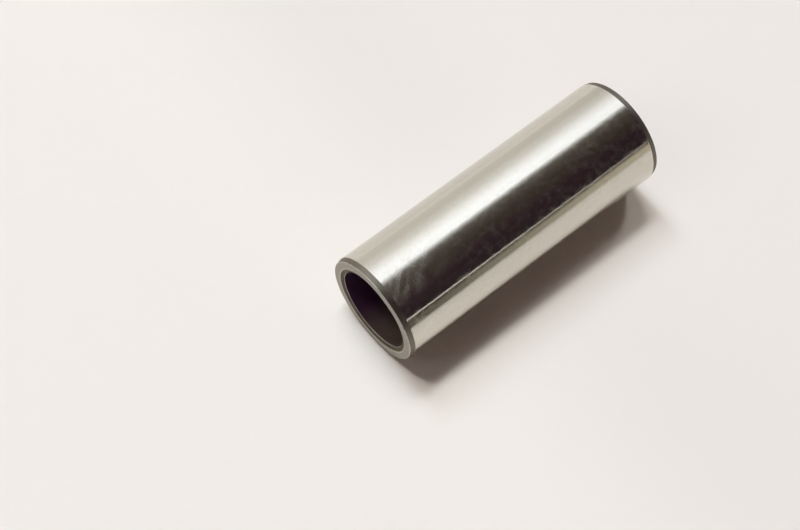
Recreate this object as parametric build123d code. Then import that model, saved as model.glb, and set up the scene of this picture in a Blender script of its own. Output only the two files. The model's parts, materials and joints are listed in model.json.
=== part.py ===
from build123d import *
import os

# Piston pin: the hollow steel pin that joins a piston to the small end of its connecting rod.
# It is turned and bored from one bar, hardened, and ground on the outside. Both ends are alike.
# The pin stands on its lower end face, with the origin in the middle of that face and +Z as its axis.

# Driving dimensions, in millimetres
PIN_DIAMETER = 20.0  # ground outside surface
PIN_LENGTH = 56.0  # from end face to end face
WALL_THICKNESS = 2.5  # between the ground surface and the straight bore
LEAD_IN_LENGTH = 1.1  # slim lead-in chamfer at each end, measured along the pin
LEAD_IN_DEPTH = 0.24  # the same chamfer, measured towards the axis
LEAD_IN_BLEND = 1.0  # radius where the ground surface turns into the lead-in
RIM_ROUND = 0.15  # edge round between the lead-in and the end face
MOUTH_WIDTH = 0.85  # shallow countersink at each mouth of the bore, measured out from the bore wall
MOUTH_DEPTH = 0.32  # the same countersink, measured along the pin
MOUTH_ROUND = 0.1  # edge round on both sides of the countersink


def end_corners():
    """Corners of one end of the section, from the ground surface in to the bore wall.

    Each row is a distance from the axis, a distance in from the end face, and the round on that corner.
    """
    outer = PIN_DIAMETER / 2
    inner = outer - WALL_THICKNESS
    return [
        (outer, LEAD_IN_LENGTH, LEAD_IN_BLEND),
        (outer - LEAD_IN_DEPTH, 0, RIM_ROUND),
        (inner + MOUTH_WIDTH, 0, MOUTH_ROUND),
        (inner, MOUTH_DEPTH, MOUTH_ROUND),
    ]


def half_section():
    """One wall of the pin, cut along the axis: the lower end's corners, then the same ones from the top."""
    corners = end_corners()
    lower = [(radius, depth) for radius, depth, _ in corners]
    upper = [(radius, PIN_LENGTH - depth) for radius, depth, _ in reversed(corners)]
    rounds = [edge_round for _, _, edge_round in corners]
    outline = FilletPolyline(*lower, *upper, radius=rounds + rounds[::-1], close=True)
    return Plane.XZ * make_face(outline)


def piston_pin():
    """The whole pin: its section turned once about the axis."""
    pin = revolve(half_section(), axis=Axis.Z)
    pin.label = "piston_pin"
    return pin


os.makedirs("parts", exist_ok=True)
pin = piston_pin()
export_step(pin, "parts/piston_pin.step")

print(f"piston_pin: {pin.volume:.1f} cubic mm, {len(pin.faces())} faces")
for wall in pin.faces().filter_by(GeomType.CYLINDER):
    box = wall.bounding_box()
    print(f"straight wall at radius {box.max.X:.3f} from z {box.min.Z:.4f} to {box.max.Z:.4f}")
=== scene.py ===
# %% [markdown]
# # A piston pin, ground and polished
#
# A piston pin is a short, thick-walled steel tube. It is turned and bored from bar, hardened, and then
# ground on the outside until it shines. The frame gives it at its real size, standing on one end with its
# axis along +Z. The picture shows it lying on a pale bench, so here the bench, the room and the camera are
# set round the pin, and the pin stays as the frame has it.

# %% Load the frame
import json
import math

import bpy
from mathutils import Matrix, Vector


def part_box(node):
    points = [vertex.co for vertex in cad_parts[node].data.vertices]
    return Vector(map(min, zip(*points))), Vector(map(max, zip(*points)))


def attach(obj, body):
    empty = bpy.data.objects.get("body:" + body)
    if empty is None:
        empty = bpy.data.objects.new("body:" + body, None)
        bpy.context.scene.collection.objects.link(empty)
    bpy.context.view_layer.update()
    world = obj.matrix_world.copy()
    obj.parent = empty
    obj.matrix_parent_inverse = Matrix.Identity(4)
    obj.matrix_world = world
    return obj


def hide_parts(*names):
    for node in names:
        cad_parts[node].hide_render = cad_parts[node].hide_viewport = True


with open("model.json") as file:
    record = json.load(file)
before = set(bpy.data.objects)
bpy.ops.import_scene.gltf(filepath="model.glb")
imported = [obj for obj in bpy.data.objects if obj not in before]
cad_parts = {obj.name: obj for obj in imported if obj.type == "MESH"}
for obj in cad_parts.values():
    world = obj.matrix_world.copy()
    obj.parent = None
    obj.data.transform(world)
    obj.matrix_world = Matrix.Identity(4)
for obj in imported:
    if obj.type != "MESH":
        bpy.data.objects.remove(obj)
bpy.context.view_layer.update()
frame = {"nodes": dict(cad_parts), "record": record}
print("frame nodes:", sorted(frame["nodes"]))

# %% [markdown]
# ## Sizes
#
# The main sizes come from the frame: the length from the node's box, the two radii from the mounts. The
# small ones, which shape the two ends, are the ones that the solid was drawn with.

# %% Sizes of the pin, in metres
MM = 0.001
low_corner, high_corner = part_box("piston_pin")
mount_sizes = {mount["name"]: mount["dims"] for mount in frame["record"]["mounts"]}
PIN_LENGTH = high_corner.z - low_corner.z
PIN_RADIUS = mount_sizes["ground_surface"]["r_mm"] * MM
BORE_RADIUS = mount_sizes["bore"]["r_mm"] * MM
LEAD_LENGTH = 1.1 * MM
LEAD_DEPTH = 0.24 * MM
LEAD_BLEND = 1.0 * MM
RIM_ROUND = 0.15 * MM
MOUTH_WIDTH = 0.85 * MM
MOUTH_DEPTH = 0.32 * MM
MOUTH_ROUND = 0.1 * MM
print(f"pin {PIN_LENGTH / MM:.1f} mm long, {2 * PIN_RADIUS / MM:.1f} mm thick")
print(f"bore {2 * BORE_RADIUS / MM:.1f} mm wide, lead-ins {LEAD_LENGTH / MM:.1f} mm long")

# %% [markdown]
# ## Directions
#
# Three directions describe how the pin lies on its bench. `ALONG` runs along the pin from the end that
# faces the camera to the far end. `ABOVE` points straight up from the bench, and `SIDE` points across the
# bench to the shadow's side. A lamp or a tone of the room is then placed by angles: how far it leans to the
# side, and how far it leans along the pin.

# %% Directions round the lying pin
ALONG = Vector((0, 0, 1))
ABOVE = Vector((1, -1, 0)).normalized()
SIDE = ALONG.cross(ABOVE)
PIN_MIDDLE = ALONG * PIN_LENGTH / 2


def towards(side_degrees, along_degrees=0):
    """A unit direction that leans from ABOVE to the side, and then along the pin."""
    side, along = math.radians(side_degrees), math.radians(along_degrees)
    across = ABOVE * math.cos(side) + SIDE * math.sin(side)
    return across * math.cos(along) + ALONG * math.sin(along)


print("above", tuple(round(x, 3) for x in ABOVE), "side", tuple(round(x, 3) for x in SIDE))

# %% [markdown]
# ## Small helpers for node trees
#
# Shader trees and geometry trees are built by the same few functions. One makes a node and sets its
# options, one feeds an input, either with a plain value or with a wire from another node, and one does
# arithmetic. Two more measure a place: how far it lies along a direction, and how far from the pin's axis.

# %% Node helpers


def feed(socket, value):
    """Wires an output to a socket, or sets a plain value on it."""
    if isinstance(value, bpy.types.NodeSocket):
        socket.id_data.links.new(value, socket)
    else:
        socket.default_value = value


def add(tree, kind, inputs=None, **options):
    """Makes a node with its options set and its inputs fed, by name or by number."""
    node = tree.nodes.new(kind)
    for name, value in options.items():
        setattr(node, name, value)
    for key, value in (inputs or {}).items():
        feed(node.inputs[key], value)
    return node


def calc(tree, operation, *values):
    """One step of arithmetic, as a Math node's output."""
    return add(tree, "ShaderNodeMath", dict(enumerate(values)), operation=operation).outputs[0]


print("node helpers:", [helper.__name__ for helper in (feed, add, calc)])

# %% Measures of a place


def dot(tree, vector, direction):
    """How far a place lies along a direction."""
    product = add(tree, "ShaderNodeVectorMath", {0: vector, 1: direction}, operation="DOT_PRODUCT")
    return product.outputs["Value"]


def from_axis(tree, place):
    """How far a place lies from the pin's axis."""
    flat = add(tree, "ShaderNodeVectorMath", {0: place, 1: (1, 1, 0)}, operation="MULTIPLY")
    return add(tree, "ShaderNodeVectorMath", {0: flat.outputs[0]}, operation="LENGTH").outputs["Value"]


print("measures of a place:", [measure.__name__ for measure in (dot, from_axis)])

# %% [markdown]
# ## Helpers for finishes
#
# Every finish starts from an empty node tree that reads the piece's own coordinates, in metres. Noise gives
# the patches and lines, Map Range picks the part of the noise that shows, and Bump turns it into relief that
# is too fine to model. The patterns could be painted as pictures, but noise stays sharp at any distance.

# %% Helpers for finishes


def empty_material(name):
    """A material with an empty node tree, and its object coordinates."""
    material = bpy.data.materials.new(name)
    material.use_nodes = True
    tree = material.node_tree
    tree.nodes.clear()
    return material, tree, add(tree, "ShaderNodeTexCoord").outputs["Object"]


def new_material(name):
    """A material with its tree, its surface shader and its object coordinates."""
    material, tree, place = empty_material(name)
    shader = add(tree, "ShaderNodeBsdfPrincipled")
    add(tree, "ShaderNodeOutputMaterial", {"Surface": shader.outputs["BSDF"]})
    return material, tree, shader, place


def blend_colours(tree, factor, first, second):
    """A colour between two others."""
    node = add(tree, "ShaderNodeMix", data_type="RGBA")
    feed(node.inputs[0], factor)
    feed(node.inputs[6], first)
    feed(node.inputs[7], second)
    return node.outputs[2]


print("material helpers:", [helper.__name__ for helper in (empty_material, new_material, blend_colours)])

# %% Helpers for patterns


def noise(tree, place, grain, detail=3.0, rough=0.55):
    """Noise from 0 to 1, with its own grain along each axis, in repeats a metre."""
    stretched = add(tree, "ShaderNodeMapping", {"Vector": place, "Scale": grain})
    wanted = {"Vector": stretched.outputs[0], "Scale": 1.0, "Detail": detail, "Roughness": rough}
    return add(tree, "ShaderNodeTexNoise", wanted).outputs["Fac"]


def spread(tree, value, span, onto=(0.0, 1.0)):
    """Maps a value's span onto another one, and keeps it inside that one."""
    return add(tree, "ShaderNodeMapRange", dict(enumerate((value, *span, *onto)))).outputs[0]


def relief(tree, height, depth, strength=1.0, under=None):
    """The surface's direction, tilted by a pattern's height, over another relief where one is given."""
    wanted = {"Strength": strength, "Distance": depth, "Height": height}
    if under is not None:
        wanted["Normal"] = under
    return add(tree, "ShaderNodeBump", wanted).outputs[0]


print("pattern helpers:", [helper.__name__ for helper in (noise, spread, relief)])

# %% [markdown]
# ## Finish of the ground surface
#
# A grinding wheel leaves very fine lines that run round the pin. They mirror the room sharply across the
# pin, and smear it along the pin. The shader's anisotropy gives that smear, and stretched noise gives the
# lines themselves. A thin film of oil and finger marks lies over them as a patchy haze: there the steel is
# a little less metallic and a little rougher, which shows best where the pin mirrors something dark. One end
# has been rubbed against other parts, so slanting strokes of a stronger haze lie there, on the upper side.

# %% Rubs at one end
STROKE_GRAIN = (150, 440, 200)
STROKE_SPAN = (0.38, 0.62)
RUB_FADE = (4 * MM, 16 * MM)  # from where, along the pin, the rubs fade, and where they are gone
RUB_TURN = 13  # degrees from straight above to the side
RUB_FULL_TURN, RUB_GONE_TURN = 9, 22  # degrees to both sides of that


def scuffs(tree, place):
    """Short slanting rubs on the upper side of the lower end, gone a little way along and round the pin."""
    slant = [dot(tree, place, direction) for direction in (ALONG - SIDE, ALONG + SIDE, ABOVE)]
    slanted = add(tree, "ShaderNodeCombineXYZ", dict(enumerate(slant))).outputs[0]
    strokes = spread(tree, noise(tree, slanted, STROKE_GRAIN, detail=4, rough=0.65), STROKE_SPAN)
    near_end = spread(tree, dot(tree, place, ALONG), RUB_FADE, (1.0, 0.0))
    turns = (RUB_GONE_TURN, RUB_FULL_TURN)
    rub_span = [PIN_RADIUS * math.cos(math.radians(turn)) for turn in turns]
    upper_side = spread(tree, dot(tree, place, towards(RUB_TURN)), rub_span)
    return calc(tree, "MULTIPLY", calc(tree, "MULTIPLY", strokes, near_end), upper_side)


print(f"rubs: up to {RUB_FADE[1] / MM:.0f} mm from the end, {RUB_GONE_TURN} degrees to both sides")

# %% Ground steel
STEEL = (0.655, 0.63, 0.56, 1)
STEEL_SHADED = (0.6, 0.575, 0.505, 1)
LINE_GRAIN = (40, 40, 9000)
CLOUD_GRAIN = (260, 260, 200)
MOTTLE_GRAIN = (1100, 1100, 900)
SWELL_GRAIN = (1200, 1200, 900)
CLOUD_SPAN, OIL_SPAN = (0.35, 0.6), (0.3, 1.0)
SMUDGE_SPAN = (0.43, 0.62)
OIL_HAZE = 0.032
RUB_HAZE = 0.085
OIL_ROUGHNESS = (0.09, 0.21)
RUB_ROUGHNESS = 0.22
GRINDING_SMEAR = 0.85
QUARTER_TURN = 0.25
SWELL_DEPTH = 0.006 * MM
LINE_DEPTH, LINE_STRENGTH = 0.002 * MM, 0.5


def ground_steel():
    """Bright steel with grinding lines round it, a patchy haze of oil, and rubs at one end."""
    material, tree, shader, place = new_material("ground_finish")
    clouds = noise(tree, place, CLOUD_GRAIN, detail=5, rough=0.65)
    mottle = noise(tree, place, MOTTLE_GRAIN, rough=0.6)
    oily = spread(tree, clouds, CLOUD_SPAN, OIL_SPAN)
    smudges = calc(tree, "MULTIPLY", spread(tree, mottle, SMUDGE_SPAN), oily)
    rubs = scuffs(tree, place)
    oil_haze = calc(tree, "MULTIPLY", smudges, OIL_HAZE)
    haze = calc(tree, "MAXIMUM", oil_haze, calc(tree, "MULTIPLY", rubs, RUB_HAZE))
    roughness = spread(tree, smudges, (0.0, 1.0), OIL_ROUGHNESS)
    tangent = add(tree, "ShaderNodeTangent", direction_type="RADIAL", axis="Z")
    swells = relief(tree, noise(tree, place, SWELL_GRAIN, detail=0.5), SWELL_DEPTH)
    lines = noise(tree, place, LINE_GRAIN, detail=4)
    feed(shader.inputs["Base Color"], blend_colours(tree, clouds, STEEL_SHADED, STEEL))
    feed(shader.inputs["Metallic"], calc(tree, "SUBTRACT", 1.0, haze))
    feed(shader.inputs["Roughness"], calc(tree, "MULTIPLY_ADD", rubs, RUB_ROUGHNESS, roughness))
    feed(shader.inputs["Tangent"], tangent.outputs[0])
    feed(shader.inputs["Normal"], relief(tree, lines, LINE_DEPTH, LINE_STRENGTH, swells))
    shader.inputs["Anisotropic"].default_value = GRINDING_SMEAR
    shader.inputs["Anisotropic Rotation"].default_value = QUARTER_TURN
    return material


finishes = {"ground": ground_steel()}
print("ground finish:", len(finishes["ground"].node_tree.nodes), "nodes")

# %% [markdown]
# ## Finish of the turned ends
#
# The ends are not ground, so they stay as the lathe and the furnace left them. The flat face is satin grey,
# the two lead-ins and the countersink are dark, and the edges between them are lighter: steel rubbed bare,
# with a painted highlight on it. At the far end the lead-in and its rounds are painted darker, as painted
# shade. All of these are the same turned steel with fine rings, so one function makes them from a small
# table. Metal turns pale at a grazing angle, but a dark scale hardly does, so each row also gives the tint
# that it has there.

# %% Turned ends
TURNED_FINISHES = {
    # name: darker colour, lighter colour, tint at a grazing angle, least and most roughness
    # the rounds between the faces: lighter steel, rubbed bare and with a painted highlight
    "edge_and_highlight": ((0.41, 0.385, 0.35, 1), (0.48, 0.455, 0.415, 1), (1, 1, 1, 1), (0.24, 0.32)),
    "lead": ((0.14, 0.122, 0.097, 1), (0.275, 0.245, 0.2, 1), (0.86, 0.8, 0.7, 1), (0.38, 0.48)),
    # the far end's lead-in and rounds: the same scale, painted darker as painted shade
    "shaded_far_lead": ((0.125, 0.113, 0.098, 1), (0.225, 0.207, 0.18, 1), (0.8, 0.76, 0.7, 1), (0.38, 0.48)),
    "face": ((0.245, 0.23, 0.206, 1), (0.33, 0.312, 0.282, 1), (0.9, 0.87, 0.82, 1), (0.3, 0.4)),
    "mouth": ((0.05, 0.044, 0.034, 1), (0.1, 0.088, 0.07, 1), (0.8, 0.74, 0.64, 1), (0.34, 0.44)),
}
RING_GRAIN = (9000, 9000, 9000)
RING_DEPTH, RING_STRENGTH = 0.004 * MM, 0.25
PATCH_GRAIN = (300, 300, 300)
PATCH_SPAN = (0.3, 0.7)
MOUTH_EDGE = BORE_RADIUS + MOUTH_WIDTH
# a thin lighter ring at the mouth's outer edge: steel rubbed bare, with a painted highlight
RUBBED_HIGHLIGHT_HALF = 0.2 * MM
RUBBED_HIGHLIGHT_STEEL = (0.5, 0.47, 0.42, 1)


def turned_steel(name, dark, light, grazing, roughness):
    """Turned steel with lathe rings, and at the mouth's outer edge rubbed steel with a painted highlight."""
    material, tree, shader, place = new_material(name + "_finish")
    radius = from_axis(tree, place)
    across = add(tree, "ShaderNodeCombineXYZ", {0: radius, 2: dot(tree, place, ALONG)})
    rings = noise(tree, across.outputs[0], RING_GRAIN)
    patches = noise(tree, place, PATCH_GRAIN, detail=4, rough=0.6)
    turned = blend_colours(tree, patches, dark, light)
    # painted highlight: a thin lighter ring at the mouth's outer edge, on steel rubbed bare there
    from_edge = calc(tree, "ABSOLUTE", calc(tree, "SUBTRACT", radius, MOUTH_EDGE))
    rubbed_highlight = spread(tree, from_edge, (0.0, RUBBED_HIGHLIGHT_HALF), (1.0, 0.0))
    feed(shader.inputs["Base Color"], blend_colours(tree, rubbed_highlight, turned, RUBBED_HIGHLIGHT_STEEL))
    feed(shader.inputs["Roughness"], spread(tree, patches, PATCH_SPAN, roughness))
    feed(shader.inputs["Normal"], relief(tree, rings, RING_DEPTH, RING_STRENGTH))
    shader.inputs["Metallic"].default_value = 1.0
    shader.inputs["Specular Tint"].default_value = grazing
    return material


for name, row in TURNED_FINISHES.items():
    finishes[name] = turned_steel(name, *row)
print("turned finishes:", list(TURNED_FINISHES))

# %% [markdown]
# ## Finish of the bore
#
# The bore was drilled and then hardened, and no wheel or cloth has touched it since. Its furnace scale is
# dark purple, and along the side that lies lowest a brown painted reflection lies over it. Two finishes
# side by side would show a border, so it is one material, and the height of a spot blends the painted
# reflection into the plain scale.

# %% Bore
BORE_REFLECTION_DARK = (0.105, 0.076, 0.06, 1)
BORE_REFLECTION_LIGHT = (0.21, 0.155, 0.12, 1)
BORE_PURPLE = (0.105, 0.042, 0.105, 1)
BORE_REFLECTION_TURN = -30  # degrees from straight above to the side, opposite the painted reflection
BORE_REFLECTION_FADE = (-BORE_RADIUS, -BORE_RADIUS / 2)
BORE_METAL = 0.7
BORE_ROUGHNESS = (0.38, 0.55)
SCALE_GRAIN = (260, 260, 160)
SCALE_DEPTH, SCALE_STRENGTH = 0.02 * MM, 0.4


def bore_steel():
    """The bore's wall: purple furnace scale, and a brown painted reflection on the side that lies lowest."""
    material, tree, shader, place = new_material("bore_finish")
    scale = noise(tree, place, SCALE_GRAIN, detail=5, rough=0.6)
    # painted reflection: brown tones along the side that lies lowest, mottled by the scale's noise
    painted_reflection = blend_colours(tree, scale, BORE_REFLECTION_DARK, BORE_REFLECTION_LIGHT)
    beyond_reflection = spread(tree, dot(tree, place, towards(BORE_REFLECTION_TURN)), BORE_REFLECTION_FADE)
    feed(shader.inputs["Base Color"], blend_colours(tree, beyond_reflection, painted_reflection, BORE_PURPLE))
    feed(shader.inputs["Roughness"], spread(tree, scale, PATCH_SPAN, BORE_ROUGHNESS))
    feed(shader.inputs["Normal"], relief(tree, scale, SCALE_DEPTH, SCALE_STRENGTH))
    shader.inputs["Metallic"].default_value = BORE_METAL
    return material


finishes["bore"] = bore_steel()
print("finishes:", [material.name for material in finishes.values()])

# %% [markdown]
# ## The pin's half section
#
# The pin's shape follows one rule: a half section turned about the axis. The section has four corners at
# each end, and each corner has its own round. A line of eight points is moved to those corners, closed and
# rounded by Fillet Curve. It could be drawn once by hand, but in Geometry Nodes each size stays an input.

# %% Sizes for the lathe
SECTION_CORNERS = 8
SIZE_INPUTS = {
    "Length": PIN_LENGTH,
    "Pin Radius": PIN_RADIUS,
    "Bore Radius": BORE_RADIUS,
    "Lead Length": LEAD_LENGTH,
    "Lead Depth": LEAD_DEPTH,
    "Lead Blend": LEAD_BLEND,
    "Rim Round": RIM_ROUND,
    "Mouth Width": MOUTH_WIDTH,
    "Mouth Depth": MOUTH_DEPTH,
    "Mouth Round": MOUTH_ROUND,
}
COUNT_INPUTS = {"Segments": 320, "Round Points": 8}
print("lathe inputs:", list(SIZE_INPUTS) + list(COUNT_INPUTS))

# %% Half section


def pick(tree, index, values):
    """One of several numbers, chosen by an index."""
    node = add(tree, "GeometryNodeIndexSwitch", data_type="FLOAT")
    while len(node.index_switch_items) < len(values):
        node.index_switch_items.new()
    feed(node.inputs[0], index)
    for number, value in enumerate(values):
        feed(node.inputs[1 + number], value)
    return node.outputs[0]


def section_corners(tree, size):
    """Where each corner of the section lies, and its round.

    The section is drawn flat: X runs out from the ground surface, and Y runs down along the pin.
    """
    index = add(tree, "GeometryNodeInputIndex").outputs[0]
    last = SECTION_CORNERS - 1
    corner = calc(tree, "MINIMUM", index, calc(tree, "SUBTRACT", last, index))
    rim = calc(tree, "SUBTRACT", size["Pin Radius"], size["Lead Depth"])
    mouth = calc(tree, "ADD", size["Bore Radius"], size["Mouth Width"])
    radius = pick(tree, corner, [size["Pin Radius"], rim, mouth, size["Bore Radius"]])
    depth = pick(tree, corner, [size["Lead Length"], 0.0, 0.0, size["Mouth Depth"]])
    rounds = [size[name] for name in ("Lead Blend", "Rim Round", "Mouth Round", "Mouth Round")]
    upper_end = calc(tree, "GREATER_THAN", index, last / 2)
    flip = calc(tree, "SUBTRACT", size["Length"], calc(tree, "MULTIPLY", depth, 2.0))
    height = calc(tree, "MULTIPLY_ADD", upper_end, flip, depth)
    inset = calc(tree, "SUBTRACT", radius, size["Pin Radius"])
    drop = calc(tree, "MULTIPLY", height, -1.0)
    corners = add(tree, "ShaderNodeCombineXYZ", {0: inset, 1: drop})
    return corners.outputs[0], pick(tree, corner, rounds)


def section_curve(tree, size):
    """The closed half section, with its corners rounded."""
    corners, rounding = section_corners(tree, size)
    line = add(tree, "GeometryNodeCurvePrimitiveLine")
    points = add(tree, "GeometryNodeResampleCurve", {"Curve": line.outputs[0], "Count": SECTION_CORNERS})
    moved = {"Geometry": points.outputs[0], "Position": corners}
    placed = add(tree, "GeometryNodeSetPosition", moved)
    closed = add(tree, "GeometryNodeSetSplineCyclic", {"Geometry": placed.outputs[0], "Cyclic": True})
    rounds = {"Curve": closed.outputs[0], "Count": size["Round Points"], "Radius": rounding}
    return add(tree, "GeometryNodeFilletCurve", rounds, mode="POLY").outputs[0]


print("half section:", SECTION_CORNERS, "rounded corners")

# %% [markdown]
# ## The lathe
#
# On a real lathe the bar turns and the tool stands still. Here Curve to Mesh sweeps the section round a
# circle, which gives the same form. Each face then gets its finish by where it lies and which way it faces,
# so the borders follow the sizes. Painting the faces by number would break when a size changes.

# %% Areas of the finishes
LEAD_FACING = LEAD_DEPTH / math.hypot(LEAD_DEPTH, LEAD_LENGTH)
MOUTH_FACING = MOUTH_WIDTH / math.hypot(MOUTH_WIDTH, MOUTH_DEPTH)
FLAT_FACING = 0.999
FACING_SLACK = 0.02
WALL_SLACK = 0.05  # as a share of the lead-in's depth


def finish_areas(tree, size):
    """Which faces get each finish. A later finish lies over an earlier one."""
    spot = add(tree, "GeometryNodeInputPosition").outputs[0]
    normal = add(tree, "GeometryNodeInputNormal").outputs[0]
    radius = from_axis(tree, spot)
    facing = calc(tree, "ABSOLUTE", dot(tree, normal, ALONG))
    half_length = calc(tree, "MULTIPLY", size["Length"], 0.5)
    slack = calc(tree, "MULTIPLY", size["Lead Depth"], WALL_SLACK)
    return {
        # the rounds get lighter steel: rubbed bare, with a painted highlight
        "edge_and_highlight": True,
        "lead": calc(tree, "COMPARE", facing, LEAD_FACING, FACING_SLACK),
        # the far half keeps darker colours: painted shade
        "shaded_far_lead": calc(tree, "GREATER_THAN", dot(tree, spot, ALONG), half_length),
        "face": calc(tree, "GREATER_THAN", facing, FLAT_FACING),
        "mouth": calc(tree, "COMPARE", facing, MOUTH_FACING, FACING_SLACK),
        "ground": calc(tree, "GREATER_THAN", radius, calc(tree, "SUBTRACT", size["Pin Radius"], slack)),
        "bore": calc(tree, "LESS_THAN", radius, calc(tree, "ADD", size["Bore Radius"], slack)),
    }


print(f"a lead-in faces the end by {LEAD_FACING:.2f}, a mouth by {MOUTH_FACING:.2f}, a face by 1")

# %% The lathe's node tree


def swept_pin(tree, size):
    """The section swept once round the axis, as one smooth mesh."""
    circle_sizes = {"Resolution": size["Segments"], "Radius": size["Pin Radius"]}
    circle = add(tree, "GeometryNodeCurvePrimitiveCircle", circle_sizes)
    outward = add(tree, "GeometryNodeSetCurveNormal", {"Curve": circle.outputs[0]}, mode="Z_UP")
    sweep = {"Curve": outward.outputs[0], "Profile Curve": section_curve(tree, size)}
    swept = add(tree, "GeometryNodeCurveToMesh", sweep)
    smooth = add(tree, "GeometryNodeSetShadeSmooth", {"Geometry": swept.outputs[0]})
    return add(tree, "GeometryNodeRealizeInstances", {"Geometry": smooth.outputs[0]}).outputs[0]


def turned_pin_tree():
    """The whole pin: section, lathe and finishes."""
    tree = bpy.data.node_groups.new("turned_pin", "GeometryNodeTree")
    tree.is_modifier = True
    for name in SIZE_INPUTS:
        tree.interface.new_socket(name, in_out="INPUT", socket_type="NodeSocketFloat")
    for name in COUNT_INPUTS:
        tree.interface.new_socket(name, in_out="INPUT", socket_type="NodeSocketInt")
    tree.interface.new_socket("Pin", in_out="OUTPUT", socket_type="NodeSocketGeometry")
    size = add(tree, "NodeGroupInput").outputs
    shape = swept_pin(tree, size)
    for finish, chosen in finish_areas(tree, size).items():
        coat = {"Geometry": shape, "Selection": chosen, "Material": finishes[finish]}
        shape = add(tree, "GeometryNodeSetMaterial", coat).outputs[0]
    add(tree, "NodeGroupOutput", {"Pin": shape})
    return tree


pin_tree = turned_pin_tree()
print("lathe tree:", len(pin_tree.nodes), "nodes")

# %% [markdown]
# ## Turn the pin
#
# The tree runs as a modifier on an empty mesh, with its inputs set first. Weighted normals keep the wide
# faces flat in their mirror images, and let only the small rounds curve. The result is then kept as a plain
# mesh without the modifiers, and that mesh takes the place of the frame's solid.

# %% Turn the pin
FULL_WEIGHT = 100
turned_pin = bpy.data.objects.new("turned_pin", bpy.data.meshes.new("turned_pin"))
bpy.context.scene.collection.objects.link(turned_pin)
lathe = turned_pin.modifiers.new("lathe", "NODES")
lathe.node_group = pin_tree
for item in pin_tree.interface.items_tree:
    if item.in_out == "INPUT":
        lathe[item.identifier] = {**SIZE_INPUTS, **COUNT_INPUTS}[item.name]
even_shading = turned_pin.modifiers.new("even_shading", "WEIGHTED_NORMAL")
even_shading.mode = "FACE_AREA"
even_shading.weight = FULL_WEIGHT
depsgraph = bpy.context.evaluated_depsgraph_get()
finished = bpy.data.meshes.new_from_object(
    turned_pin.evaluated_get(depsgraph), preserve_all_data_layers=True, depsgraph=depsgraph
)
turned_pin.modifiers.clear()
turned_pin.data = finished
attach(turned_pin, "root")
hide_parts("piston_pin")
print("turned pin:", len(finished.polygons), "faces,", [m.name for m in finished.materials])

# %% [markdown]
# ## The bench
#
# The pin lies on a pale bench, and its shadow falls there. The bench touches the pin's side, so it is a
# plane one pin radius below the axis. It shows only from its front: from behind it is clear, so that the
# pin can be seen from all sides.

# %% Bench
BENCH_HALF = 0.6
BENCH_COLOUR = (0.845, 0.826, 0.797, 1)
BENCH_SHADED = (0.835, 0.816, 0.787, 1)
BENCH_GRAIN = (900, 900, 900)
BENCH_ROUGHNESS = 0.9
BENCH_SHINE = 0.1


def sheet_object(name, centre, half_side, half_along):
    """A flat rectangle beside the pin, facing up from the bench."""
    across, length = SIDE * half_side, ALONG * half_along
    corners = [centre - across - length, centre + across - length]
    corners += [centre + across + length, centre - across + length]
    mesh = bpy.data.meshes.new(name)
    mesh.from_pydata(corners, [], [(0, 1, 2, 3)])
    sheet = bpy.data.objects.new(name, mesh)
    bpy.context.scene.collection.objects.link(sheet)
    return sheet


def bench_paint():
    """Pale matt paint, with the faintest grain, clear from behind."""
    material, tree, shader, place = new_material("bench_paint")
    grain = noise(tree, place, BENCH_GRAIN, detail=2)
    feed(shader.inputs["Base Color"], blend_colours(tree, grain, BENCH_SHADED, BENCH_COLOUR))
    shader.inputs["Roughness"].default_value = BENCH_ROUGHNESS
    shader.inputs["Specular IOR Level"].default_value = BENCH_SHINE
    behind = add(tree, "ShaderNodeNewGeometry").outputs["Backfacing"]
    clear = add(tree, "ShaderNodeBsdfTransparent")
    mixed = add(tree, "ShaderNodeMixShader", {0: behind, 1: shader.outputs[0], 2: clear.outputs[0]})
    feed(tree.nodes["Material Output"].inputs["Surface"], mixed.outputs[0])
    return material


bench = sheet_object("bench", PIN_MIDDLE - ABOVE * PIN_RADIUS, BENCH_HALF, BENCH_HALF)
bench.data.materials.append(bench_paint())
print("bench normal:", tuple(round(x, 3) for x in bench.data.polygons[0].normal))

# %% [markdown]
# ## The room that the steel mirrors
#
# Polished steel has little colour of its own: it shows the room. A wide arch stands over the bench as a
# room in plain tones, from the pale wall on the lamps' side, over the white of the lamps, to the dark side
# where the camera stands. Walls and windows could be modelled one by one, but a round pin mirrors each of
# them as a strip along its length, so one tone for each angle round the pin is enough. Only mirror rays see
# the arch, so it neither lights the bench nor hides the lamps.

# %% Tones of the room
ARCH_RADIUS = 0.6
ARCH_HALF = 1.2
ARCH_END = 92
ARCH_STEPS = 184
LINE_START, LINE_END = 72, 74
ROOM_TONES = [
    # degrees from straight above to the side, and the tone there
    (-ARCH_END, (0.8, 0.77, 0.73)),
    (-74, (0.79, 0.76, 0.72)),
    (-56, (0.99, 0.98, 0.99)),
    (-42, (1.36, 1.39, 1.45)),
    (-30, (1.6, 1.66, 1.82)),
    (-17, (1.55, 1.61, 1.75)),
    (-13, (0.8, 0.82, 0.86)),
    (-10, (0.44, 0.45, 0.46)),
    (-7.5, (0.22, 0.21, 0.2)),
    (-4, (0.14, 0.128, 0.118)),
    (4, (0.09, 0.077, 0.067)),
    (16, (0.06, 0.046, 0.039)),
    (43, (0.037, 0.019, 0.027)),
    (LINE_START, (0.03, 0.021, 0.024)),
]
print("room:", len(ROOM_TONES), "tones, from", ROOM_TONES[0][0], "to", ROOM_TONES[-1][0], "degrees")

# %% Glow that only mirrors show
FIRST_BOUNCE = 0.5  # splits rays that no matt surface has scattered yet from all others


def mirror_only(card):
    """Hides a card from all but mirror rays."""
    card.visible_camera = False
    card.visible_diffuse = False
    card.visible_shadow = False
    card.visible_transmission = False
    card.visible_volume_scatter = False


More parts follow.
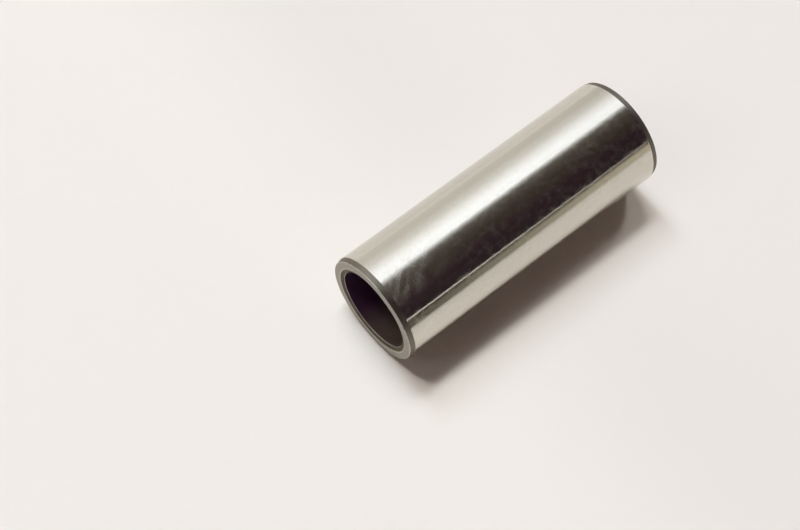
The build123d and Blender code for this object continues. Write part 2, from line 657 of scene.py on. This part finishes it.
def glow_material(name):
    """A material that glows for mirrors and lights nothing, with its tree, glow and object coordinates.

    A ray that a matt surface has scattered finds it black, so it throws no light by way of the steel.
    """
    material, tree, place = empty_material(name)
    bounces = add(tree, "ShaderNodeLightPath").outputs["Diffuse Depth"]
    glow = add(tree, "ShaderNodeEmission", {"Strength": calc(tree, "LESS_THAN", bounces, FIRST_BOUNCE)})
    add(tree, "ShaderNodeOutputMaterial", {"Surface": glow.outputs[0]})
    return material, tree, glow, place


print("glow helpers:", [helper.__name__ for helper in (mirror_only, glow_material)])

# %% [markdown]
# ## Tones that change along the pin
#
# Some of what the pin mirrors changes from one of its ends to the other. The camera looks along the pin a
# little, so a mirrored ray also runs on towards the far end, and rays from neighbouring places fan out. A
# spot on the arch is therefore traced back to the place on the pin that mirrors it, and its tone follows
# that place. Low on the shadow's side there are a thin lit line, a dim shelf under it, and the bench, which
# gets darker further out until it has the shelf's tone.

# %% Places on the pin
MIRROR_DRIFT = 0.297
MIRROR_FAN = 4.2


def angle_round(tree, place):
    """The angle of a spot round the pin's axis, from straight above to the side."""
    return calc(tree, "ARCTAN2", dot(tree, place, SIDE), dot(tree, place, ABOVE))


def mirrored_fade(tree, place, near, far, start=0.0):
    """A colour that fades along the pin, by the place on the pin that mirrors a spot.

    Further out from the pin, the mirrored rays drift towards its far end and fan out.
    """
    away = from_axis(tree, place)
    drifted = calc(tree, "SUBTRACT", dot(tree, place, ALONG), calc(tree, "MULTIPLY", away, MIRROR_DRIFT))
    mirrored = calc(tree, "DIVIDE", drifted, calc(tree, "MULTIPLY_ADD", away, MIRROR_FAN, 1.0))
    return blend_colours(tree, spread(tree, mirrored, (start, PIN_LENGTH)), near, far)


print(f"at the arch, mirrored rays have drifted {MIRROR_DRIFT * ARCH_RADIUS / MM:.0f} mm along the pin")

# %% Tones round the pin
PLAIN_WHITE = (1, 1, 1, 1)
FAR_DIM = (0.89, 0.89, 0.89, 1)


def room_tones():
    """Tones that follow the angle round the pin, a little dimmer towards the pin's far end."""
    material, tree, glow, place = glow_material("room_tones")
    ends = (math.radians(-ARCH_END), math.radians(LINE_START))
    ramp = add(tree, "ShaderNodeValToRGB", {0: spread(tree, angle_round(tree, place), ends)})
    stops = ramp.color_ramp.elements
    while len(stops) < len(ROOM_TONES):
        stops.new(0.5)
    for stop, (degrees, colour) in zip(stops, ROOM_TONES):
        stop.position = (degrees + ARCH_END) / (LINE_START + ARCH_END)
        stop.color = (*colour, 1)
    dimmed = mirrored_fade(tree, place, PLAIN_WHITE, FAR_DIM, PIN_LENGTH / 2)
    toned = add(tree, "ShaderNodeVectorMath", {0: ramp.outputs[0], 1: dimmed}, operation="MULTIPLY")
    feed(glow.inputs["Color"], toned.outputs[0])
    return material


arch_tones = [room_tones()]
print("tones round the pin:", arch_tones[0].name)

# %% Lit line and shelf
LINE_NEAR, LINE_FAR = (1.3, 1.24, 1.2, 1), (0.3, 0.265, 0.25, 1)
SHELF_NEAR, SHELF_FAR = (0.08, 0.07, 0.066, 1), (0.66, 0.6, 0.48, 1)
SHELF_SHADE = (0.03, 0.026, 0.024, 1)
SHADE_END = LINE_END + 8


def line_tones():
    """The lit line, which fades towards the pin's far end."""
    material, tree, glow, place = glow_material("lit_line")
    feed(glow.inputs["Color"], mirrored_fade(tree, place, LINE_NEAR, LINE_FAR))
    return material


def shelf_tones():
    """The shelf under the lit line, shaded close to it."""
    material, tree, glow, place = glow_material("shelf")
    ends = (math.radians(LINE_END), math.radians(SHADE_END))
    below = spread(tree, angle_round(tree, place), ends)
    shelf = mirrored_fade(tree, place, SHELF_NEAR, SHELF_FAR)
    feed(glow.inputs["Color"], blend_colours(tree, below, SHELF_SHADE, shelf))
    return material


arch_tones += [line_tones(), shelf_tones()]
print("lit line from", LINE_START, "to", LINE_END, "degrees, shelf shaded down to", SHADE_END, "degrees")

# %% Room arch
angles = [ARCH_END * (2 * step / ARCH_STEPS - 1) for step in range(ARCH_STEPS + 1)]
rim = [towards(angle) * ARCH_RADIUS for angle in angles]
arch_points = [PIN_MIDDLE + point + ALONG * end * ARCH_HALF for point in rim for end in (-1, 1)]
arch_faces = [(2 * i, 2 * i + 1, 2 * i + 3, 2 * i + 2) for i in range(ARCH_STEPS)]
arch_mesh = bpy.data.meshes.new("room_arch")
arch_mesh.from_pydata(arch_points, [], arch_faces)
for tones in arch_tones:
    arch_mesh.materials.append(tones)
for face, angle in zip(arch_mesh.polygons, angles):
    face.material_index = (angle >= LINE_START) + (angle >= LINE_END)
room_arch = bpy.data.objects.new("room_arch", arch_mesh)
bpy.context.scene.collection.objects.link(room_arch)
mirror_only(room_arch)
print("room arch:", len(arch_faces), "faces,", [m.name for m in arch_mesh.materials])

# %% [markdown]
# ## Cards on the bench
#
# The real bench is larger and less evenly lit than this one. Two flat cards just above the bench carry its
# tones for the mirror rays alone: the dimming bench on the shadow's side, and a pale one on the lamps' side.

# %% Tones of the cards
TABLE_LIT = (0.835, 0.8, 0.765, 1)
TABLE_HALF_LIT = 260 * MM
TABLE_FALL = 2.4
PALE_SIDE = (0.9, 0.865, 0.825, 1)


def table_tones():
    """The table beside the pin, which gets darker further out, down to the shelf's tone."""
    material, tree, glow, place = glow_material("table")
    distance = calc(tree, "DIVIDE", dot(tree, place, SIDE), TABLE_HALF_LIT)
    dimmed = calc(tree, "ADD", calc(tree, "POWER", distance, TABLE_FALL), 1.0)
    lit = calc(tree, "DIVIDE", 1.0, dimmed)
    shelf = mirrored_fade(tree, place, SHELF_NEAR, SHELF_FAR)
    feed(glow.inputs["Color"], blend_colours(tree, lit, shelf, TABLE_LIT))
    return material


def pale_tones():
    """The pale table on the lamps' side."""
    material, _, glow, _ = glow_material("pale_table")
    glow.inputs["Color"].default_value = PALE_SIDE
    return material


print(f"table half as bright {TABLE_HALF_LIT / MM:.0f} mm out")

# %% Cards on the bench
CARD_LIFT = 0.5 * MM
BENCH_CARDS = [
    # name, from and to, measured out from the pin, and tones
    ("dim_table", 60 * MM, 590 * MM, table_tones()),
    ("pale_table", -590 * MM, -80 * MM, pale_tones()),
]
for name, start, end, tones in BENCH_CARDS:
    card_middle = PIN_MIDDLE + SIDE * (start + end) / 2 - ABOVE * (PIN_RADIUS - CARD_LIFT)
    card = sheet_object(name, card_middle, (end - start) / 2, ARCH_HALF)
    card.data.materials.append(tones)
    mirror_only(card)
    print(name, "from", round(start / MM), "to", round(end / MM), "mm")

# %% [markdown]
# ## Lamps
#
# The shadow tells how the pin was lit. It ends a little inside the pin at both ends, as under two soft
# boxes that lean together: one hangs over the near half and one over the far half. A grid on each box keeps
# its light in a narrow beam, which gives the crisp long edge. A third box shines in low past the far end.
# Each box has one edge straight across the bench, so that the beams meet in a line that the pin hides. Three
# plain lamps soften the border: a wide cool one along the side, a long one at the ends and a weak one at the
# near end. One lamp could light the pin as well, but its shadow would run out past one of the ends.

# %% Lamp helper
WARM, NEUTRAL, COOL = (1, 0.96, 0.88), (1, 1, 1), (1, 1.075, 1.17)


def hang_lamp(name, lean, foot, distance, size, colour):
    """A rectangular lamp at a distance from its foot on the bench, facing that foot.

    Gives the light, how steeply it shines on the bench, and the direction of its length.
    """
    width, length = size
    back = towards(*lean)
    crosswise = (SIDE - back * SIDE.dot(back)).normalized()
    lengthwise = back.cross(crosswise)
    columns = Matrix((lengthwise, -crosswise, back)).transposed()
    light = bpy.data.lights.new(name, "AREA")
    light.shape = "RECTANGLE"
    light.size = length
    light.size_y = width
    light.color = colour
    lamp = bpy.data.objects.new(name, light)
    lamp.matrix_world = Matrix.Translation(foot + back * distance) @ columns.to_4x4()
    lamp.visible_camera = False
    lamp.visible_glossy = False
    bpy.context.scene.collection.objects.link(lamp)
    return light, back.dot(ABOVE), lengthwise


print("lamp colours:", {"warm": WARM, "neutral": NEUTRAL, "cool": COOL})

# %% Gridded boxes
BOX_DISTANCE = 0.3
BOX_LENGTH = 0.5
BOX_WIDTH = 0.7
BOX_SPREAD = math.radians(12)
NEAR_HALF, FAR_HALF = -1, 1
BOXES = [
    # name, half of the pin, where its beam starts, lean to the side and along, share of the light
    ("near_box", NEAR_HALF, 23 * MM, (-19.3, -12.2), 0.36),
    ("far_box", FAR_HALF, 26 * MM, (-20.4, 17.4), 0.14),
    ("low_box", FAR_HALF, 24 * MM, (-14.6, 40.6), 0.18),
]
for name, half, start, lean, share in BOXES:
    foot = ALONG * start - ABOVE * PIN_RADIUS
    light, slope, lengthwise = hang_lamp(name, lean, foot, BOX_DISTANCE, (BOX_WIDTH, BOX_LENGTH), WARM)
    bpy.data.objects[name].location += lengthwise * half * BOX_LENGTH / 2
    light.spread = BOX_SPREAD
    light.energy = share * math.pi * BOX_LENGTH * BOX_WIDTH / slope
    print(name, f"{light.energy:.2f} W")

# %% Plain lamps
PLAIN_DISTANCE = 3.0
PLAIN_LAMPS = [
    # name, lean to the side and along, width and length, colour, share of the light
    ("side_lamp", (-31, 0.3), (1.08, 0.53), COOL, 0.31),
    ("end_lamp", (-19.9, 7.2), (0.3, 0.78), NEUTRAL, 0.25),
    ("near_fill", (-15, -42), (0.9, 1.5), WARM, 0.055),
]
for name, lean, size, colour, share in PLAIN_LAMPS:
    foot = PIN_MIDDLE - ABOVE * PIN_RADIUS
    light, slope, _ = hang_lamp(name, lean, foot, PLAIN_DISTANCE, size, colour)
    light.energy = share * (math.pi * PLAIN_DISTANCE) ** 2 / slope
    print(name, f"{light.energy:.2f} W")

# %% [markdown]
# ## World
#
# Where the shadow is deepest, only a dim warm light from all round is left. The world gives it. Where the
# world is seen, in the background or in a mirror, it is a pale room instead. The kind of ray tells the two
# apart, so no dome has to be built.

# %% World
ROOM_PALE = (0.84, 0.815, 0.78, 1)
ROOM_DIM = (1.3, 0.78, 0.66, 1)
AMBIENT = 0.072
world = bpy.data.worlds.new("pale_room")
bpy.context.scene.world = world
world.use_nodes = True
world_tree = world.node_tree
world_tree.nodes.clear()
ray = add(world_tree, "ShaderNodeLightPath").outputs
seen = calc(world_tree, "MAXIMUM", ray["Is Camera Ray"], ray["Is Glossy Ray"])
seen = calc(world_tree, "MAXIMUM", seen, ray["Is Transmission Ray"])
pale = add(world_tree, "ShaderNodeBackground", {"Color": ROOM_PALE, "Strength": 1.0})
dim = add(world_tree, "ShaderNodeBackground", {"Color": ROOM_DIM, "Strength": AMBIENT})
both = add(world_tree, "ShaderNodeMixShader", {0: seen, 1: dim.outputs[0], 2: pale.outputs[0]})
add(world_tree, "ShaderNodeOutputWorld", {"Surface": both.outputs[0]})
bpy.context.scene.view_settings.view_transform = "Standard"
print("world: pale where it is seen, dim where it lights")

# %% [markdown]
# ## Camera
#
# The camera looks down on the bench. Five things place it: its height over the bench as an angle, how far
# the pin is turned from the picture's width, its distance, where the pin's middle stands in the picture, and
# a lean round the pin. A round pin looks the same however the camera leans round it, so the lean was found
# from the bench: it moves the shadow and the mirrored room, and nothing else.

# %% Camera
LENS_MM = 81
SENSOR_MM = 36
CLIP_START, CLIP_END = 0.01, 10
CAMERA_HEIGHT = math.radians(60.24)
PIN_TURN = math.radians(40.07)
CAMERA_LEAN = math.radians(-5.35)
CAMERA_DISTANCE = 0.307
PIN_RIGHT = 16.76 * MM
PIN_UP = 8.04 * MM

lean_turn = Matrix.Rotation(CAMERA_LEAN, 3, ALONG)
across, upright = lean_turn @ SIDE, lean_turn @ ABOVE
right = ALONG * math.cos(PIN_TURN) + across * math.sin(PIN_TURN)
away = ALONG * math.sin(PIN_TURN) - across * math.cos(PIN_TURN)
ahead = away * math.cos(CAMERA_HEIGHT) - upright * math.sin(CAMERA_HEIGHT)
picture_up = away * math.sin(CAMERA_HEIGHT) + upright * math.cos(CAMERA_HEIGHT)
camera_data = bpy.data.cameras.new("camera")
camera_data.lens = LENS_MM
camera_data.sensor_width = SENSOR_MM
camera_data.clip_start = CLIP_START
camera_data.clip_end = CLIP_END
camera = bpy.data.objects.new("camera", camera_data)
turned = Matrix((right, picture_up, -ahead)).transposed().to_4x4()
stand = PIN_MIDDLE - right * PIN_RIGHT - picture_up * PIN_UP - ahead * CAMERA_DISTANCE
camera.matrix_world = Matrix.Translation(stand) @ turned
bpy.context.scene.collection.objects.link(camera)
bpy.context.scene.camera = camera
print("camera at", tuple(round(x, 3) for x in stand))
